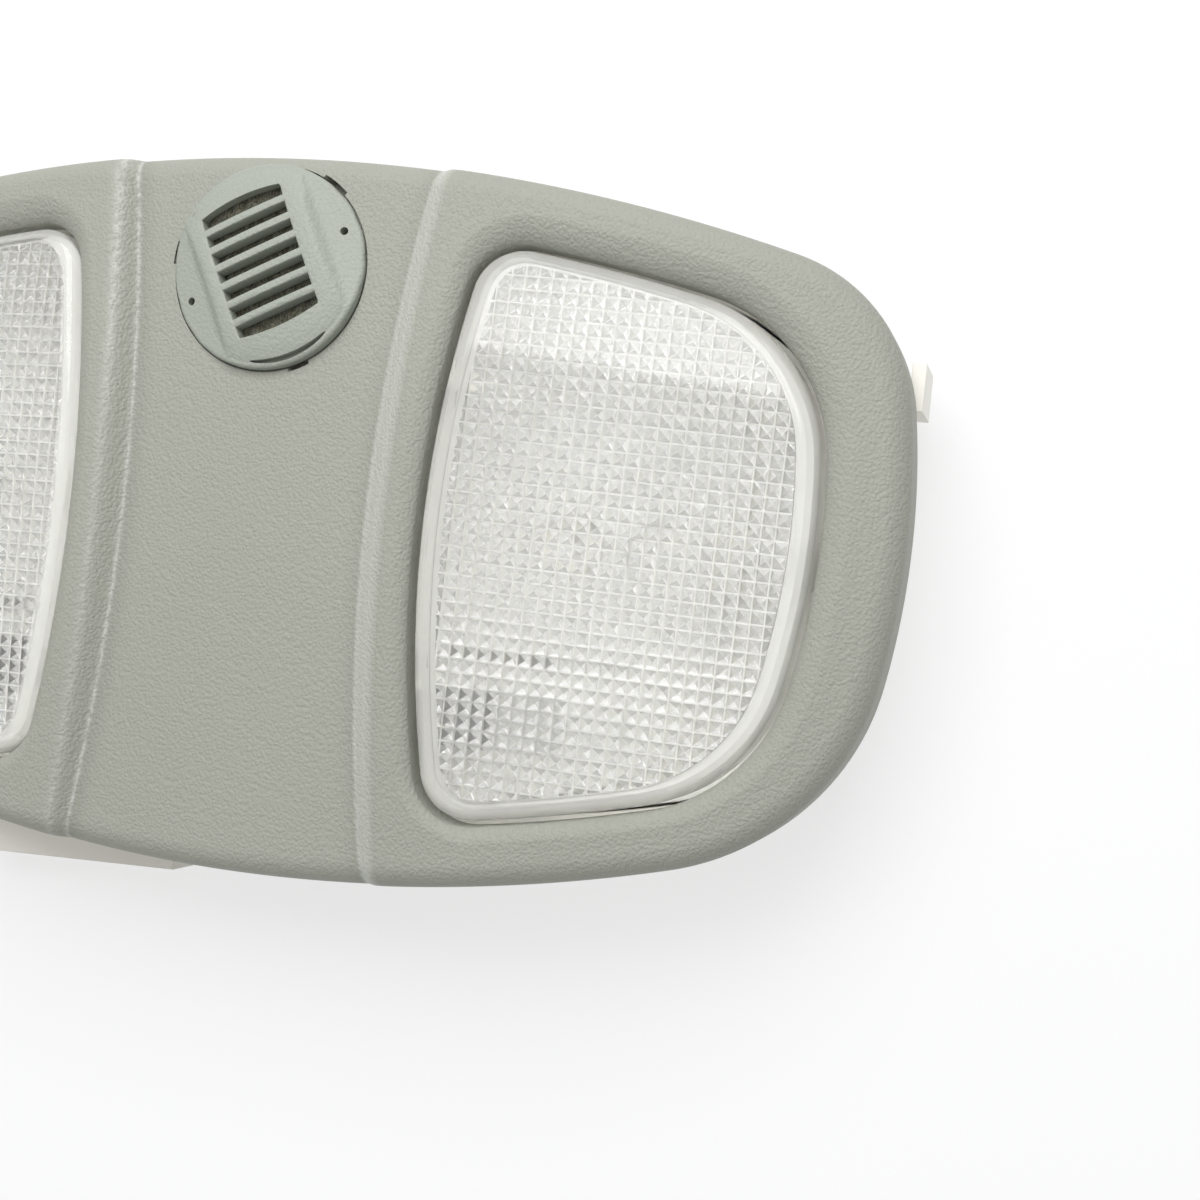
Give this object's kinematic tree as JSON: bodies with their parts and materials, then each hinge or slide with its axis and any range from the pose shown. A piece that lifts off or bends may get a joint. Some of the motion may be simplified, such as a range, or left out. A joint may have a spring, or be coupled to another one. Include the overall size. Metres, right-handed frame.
{
  "type": "car dome light",
  "caption": "Overhead dome and map light with a crowned bezel, sunk centre panel, prismatic push lenses and a round slotted grille cap.",
  "frame": {"origin": "midway between the two fixing holes, in the plane of the rear housing's floors, which the lamp rests on", "axes": "+X along the lamp, +Y towards the edge with the grille cap (windscreen side), +Z out of the face"},
  "size_m": [0.2248, 0.1323, 0.0439],
  "materials": {
    "bezel": "fine grain, matt",
    "lens": "clear, pyramid grid on the inner face",
    "housing": "smooth moulded, satin",
    "reflector": "white, satin",
    "bulb_socket": "matt black",
    "bulb": "clear glass",
    "switch": "smooth moulded",
    "plunger": "smooth",
    "contact": "rolled strip",
    "board": "laminate",
    "cap": "fine grain, satin",
    "felt": "dark felt",
    "boot": "matt",
    "capsule": "drawn can",
    "screw": "plated",
    "spring": "sprung strip"
  },
  "bodies": {
    "lamp": {"bezel": "bezel", "rear_housing": "housing", "reflector_right": "reflector", "reflector_left": "reflector", "bulb_socket_right": "bulb_socket", "bulb_socket_left": "bulb_socket", "bulb_right": "bulb", "bulb_left": "bulb", "switch_right": "switch", "switch_left": "switch", "contact_strips_right": "contact", "contact_strips_left": "contact", "circuit_board": "board", "connector_shroud": "housing", "connector_pins": "contact", "grille_cap": "cap", "felt_disc": "felt", "sensor_boot": "boot", "sensor_capsule": "capsule", "housing_screws": "screw", "spring_clips": "spring"},
    "lens_right": {"lens_right": "lens"},
    "lens_left": {"lens_left": "lens"},
    "plunger_right": {"plunger_right": "plunger"},
    "plunger_left": {"plunger_left": "plunger"}
  },
  "joints": [
    {"name": "lens_right_push", "type": "hinge", "parent": "lamp", "child": "lens_right", "pos_m": [0.0372, 0, 0.0295], "axis": [0, 1, 0], "range_deg": [0, 2.4], "stiffness_Nm_per_rad": 3, "springref_deg": -1.72},
    {"name": "lens_left_push", "type": "hinge", "parent": "lamp", "child": "lens_left", "pos_m": [-0.0372, 0, 0.0295], "axis": [0, -1, 0], "range_deg": [0, 2.4], "stiffness_Nm_per_rad": 3, "springref_deg": -1.72},
    {"name": "plunger_right_slide", "type": "slide", "parent": "lamp", "child": "plunger_right", "axis": [0, 0, -1], "range_m": [0, 0.0025]},
    {"name": "plunger_left_slide", "type": "slide", "parent": "lamp", "child": "plunger_left", "axis": [0, 0, -1], "range_m": [0, 0.0025]}
  ],
  "couplings": [
    {"joint": "plunger_right_slide", "follows": "lens_right_push", "m_per_rad": 0.0582},
    {"joint": "plunger_left_slide", "follows": "lens_left_push", "m_per_rad": 0.0582}
  ]
}
